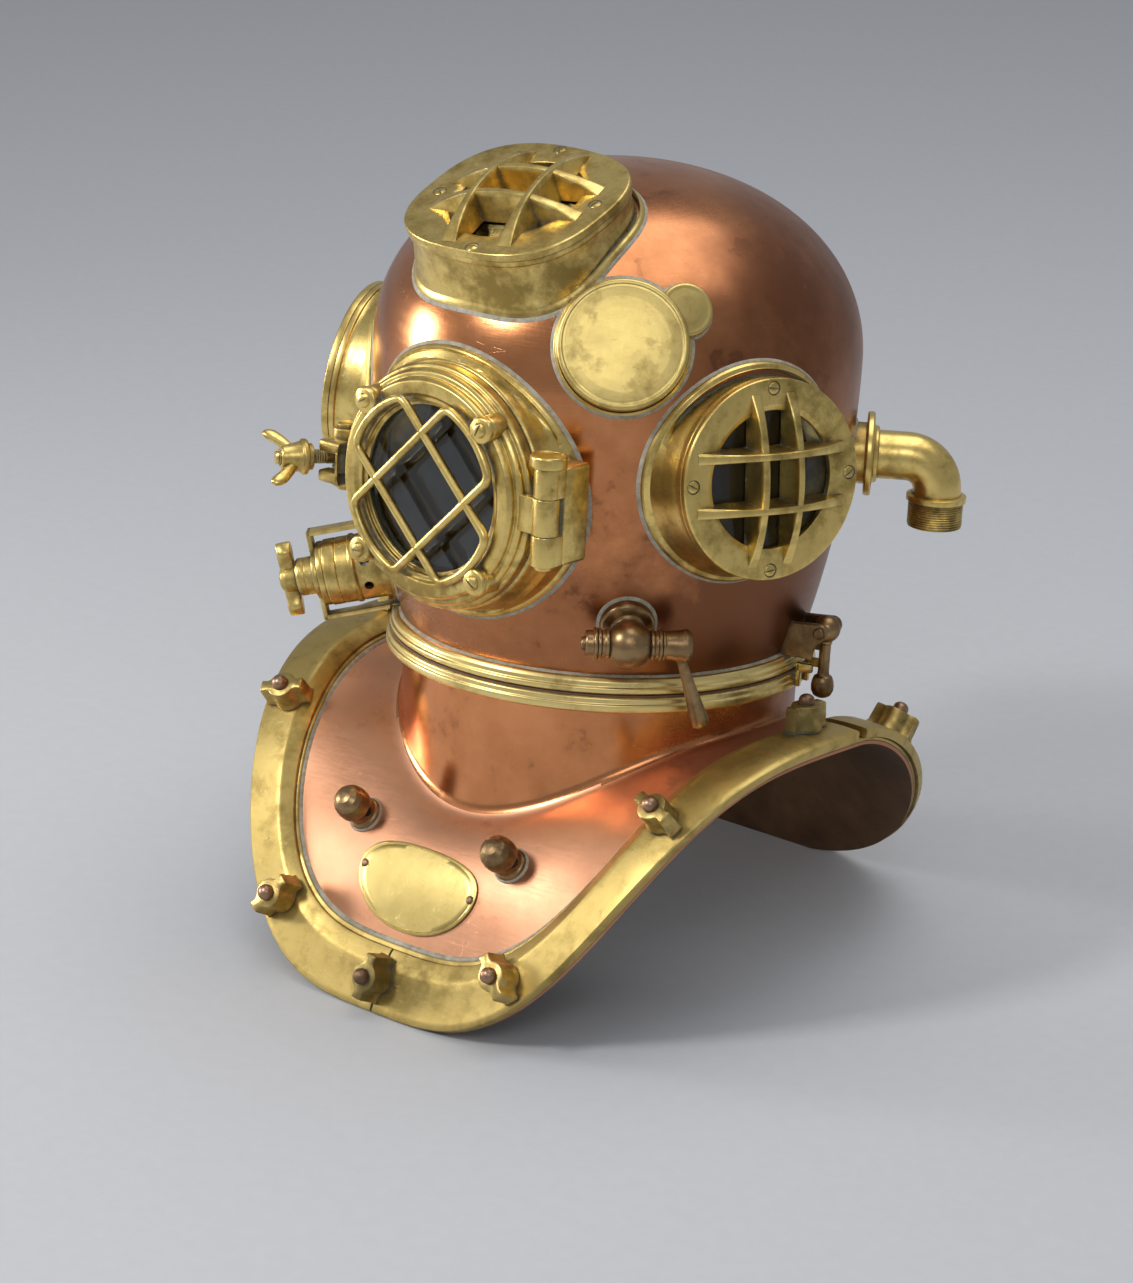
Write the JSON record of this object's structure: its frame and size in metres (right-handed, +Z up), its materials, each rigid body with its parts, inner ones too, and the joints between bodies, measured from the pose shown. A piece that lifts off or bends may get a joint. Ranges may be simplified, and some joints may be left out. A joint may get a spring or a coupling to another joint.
{
  "type": "diving helmet",
  "caption": "Copper and brass deep sea diving helmet: windowed bonnet with opening face door on a flanged breastplate.",
  "frame": {"origin": "on the floor, midway between left and right and between front and back, with the helmet standing on the bottoms of its two lobes", "axes": "+Z up, -Y the way the face window looks, +X the diver's left; the neck axis leans back by 4.0 degrees towards +Y"},
  "size_m": [0.3798, 0.4216, 0.5032],
  "materials": {
    "copper": "polished copper, browned on the crown",
    "copper_satin": "satin copper with fine scratches",
    "stud_copper": "worn copper-brown stud ends",
    "brass": "polished brass with dark patina in the corners",
    "brass_brail": "satin brass with a darker inner slope",
    "bronze": "brown bronze, polished on the high spots",
    "steel": "dull spring steel",
    "glass": "thick clear glass, dark behind",
    "rubber": "black rubber",
    "capsule": "black moulded case",
    "leather": "oiled leather",
    "plate": "bright flat brass plate"
  },
  "bodies": {
    "breastplate": {"breastplate_shell": "copper_satin", "breastplate_rim": "brass", "breastplate_ring": "brass", "neck_washer": "leather", "lock_fork": "brass", "brail_front_left": "brass_brail", "brail_front_right": "brass_brail", "brail_back_left": "brass_brail", "brail_back_right": "brass_brail", "brail_studs": "stud_copper", "brail_nuts": "brass", "lashing_eyes": "bronze", "name_plate": "plate", "name_plate_rivets": "stud_copper"},
    "bonnet": {"bonnet_shell": "copper", "bonnet_ring": "brass", "face_frame": "brass", "hinge_block": "brass", "hinge_pin": "brass", "bolt_clevis": "brass", "bolt_pin": "brass", "left_frame": "brass", "left_glass": "glass", "left_grille": "brass", "right_frame": "brass", "right_glass": "glass", "right_grille": "brass", "top_frame": "brass", "top_glass": "glass", "top_grille": "brass", "window_washers": "rubber", "grille_screws": "brass", "telephone_cup": "brass", "cup_boss": "brass", "telephone_capsule": "capsule", "spitcock_body": "bronze", "exhaust_body": "brass", "exhaust_cap": "brass", "exhaust_guard": "brass", "air_elbow": "brass", "telephone_elbow": "brass", "air_duct_left": "brass", "air_duct_right": "brass", "lock_ear": "brass"},
    "face_door": {"door_ring": "brass", "door_lug": "brass", "door_glass": "glass", "door_gasket": "rubber", "door_clamp_ring": "brass", "door_guard": "brass", "door_guard_screws": "brass"},
    "swing_bolt": {"swing_bolt": "brass"},
    "clamp_washer": {"clamp_washer": "brass"},
    "wing_nut": {"wing_nut": "brass"},
    "spitcock_plug": {"spitcock_plug": "bronze", "spitcock_lever": "bronze"},
    "exhaust_handle": {"exhaust_handle": "brass"},
    "exhaust_stem": {"exhaust_stem": "brass", "exhaust_spring": "steel"},
    "safety_lock": {"safety_lock": "bronze"}
  },
  "joints": [
    {"name": "bonnet_turn", "type": "hinge", "parent": "breastplate", "child": "bonnet", "pos_m": [0, 0.0164, 0.18773], "axis": [0, 0.0692, 0.9976], "range_deg": [0, 45]},
    {"name": "door_hinge", "type": "hinge", "parent": "bonnet", "child": "face_door", "pos_m": [0.0845, -0.13528, 0.32054], "axis": [0, 0.0692, 0.9976], "range_deg": [0, 110]},
    {"name": "bolt_swing", "type": "hinge", "parent": "bonnet", "child": "swing_bolt", "pos_m": [-0.086, -0.12387, 0.31875], "axis": [0, -0.0692, -0.9976], "range_deg": [0, 57]},
    {"name": "washer_slide", "type": "slide", "parent": "swing_bolt", "child": "clamp_washer", "axis": [-0.5446, -0.8367, 0.058], "range_m": [0, 0.002]},
    {"name": "wing_nut_turn", "type": "hinge", "parent": "clamp_washer", "child": "wing_nut", "pos_m": [-0.09913, -0.14404, 0.32014], "axis": [-0.5446, -0.8367, 0.058], "range_deg": [0, 360]},
    {"name": "spitcock_lever_turn", "type": "hinge", "parent": "bonnet", "child": "spitcock_plug", "pos_m": [0.10976, -0.08842, 0.23525], "axis": [-0.7009, -0.7115, 0.0493], "range_deg": [0, 90]},
    {"name": "exhaust_handle_turn", "type": "hinge", "parent": "bonnet", "child": "exhaust_handle", "pos_m": [-0.15075, -0.09945, 0.2196], "axis": [-0.7646, -0.6127, -0.2], "continuous": true},
    {"name": "chin_valve_push", "type": "slide", "parent": "bonnet", "child": "exhaust_stem", "axis": [-0.7646, -0.6127, -0.2], "range_m": [0, 0.005], "stiffness_N_per_m": 600, "springref_m": -0.004},
    {"name": "safety_lock_swing", "type": "hinge", "parent": "bonnet", "child": "safety_lock", "pos_m": [0.14455, 0.0584, 0.21389], "axis": [0.2672, -0.9613, 0.0667], "range_deg": [0, 95]}
  ],
  "couplings": [
    {"joint": "wing_nut_turn", "follows": "washer_slide", "rad_per_m": 3141.6}
  ]
}
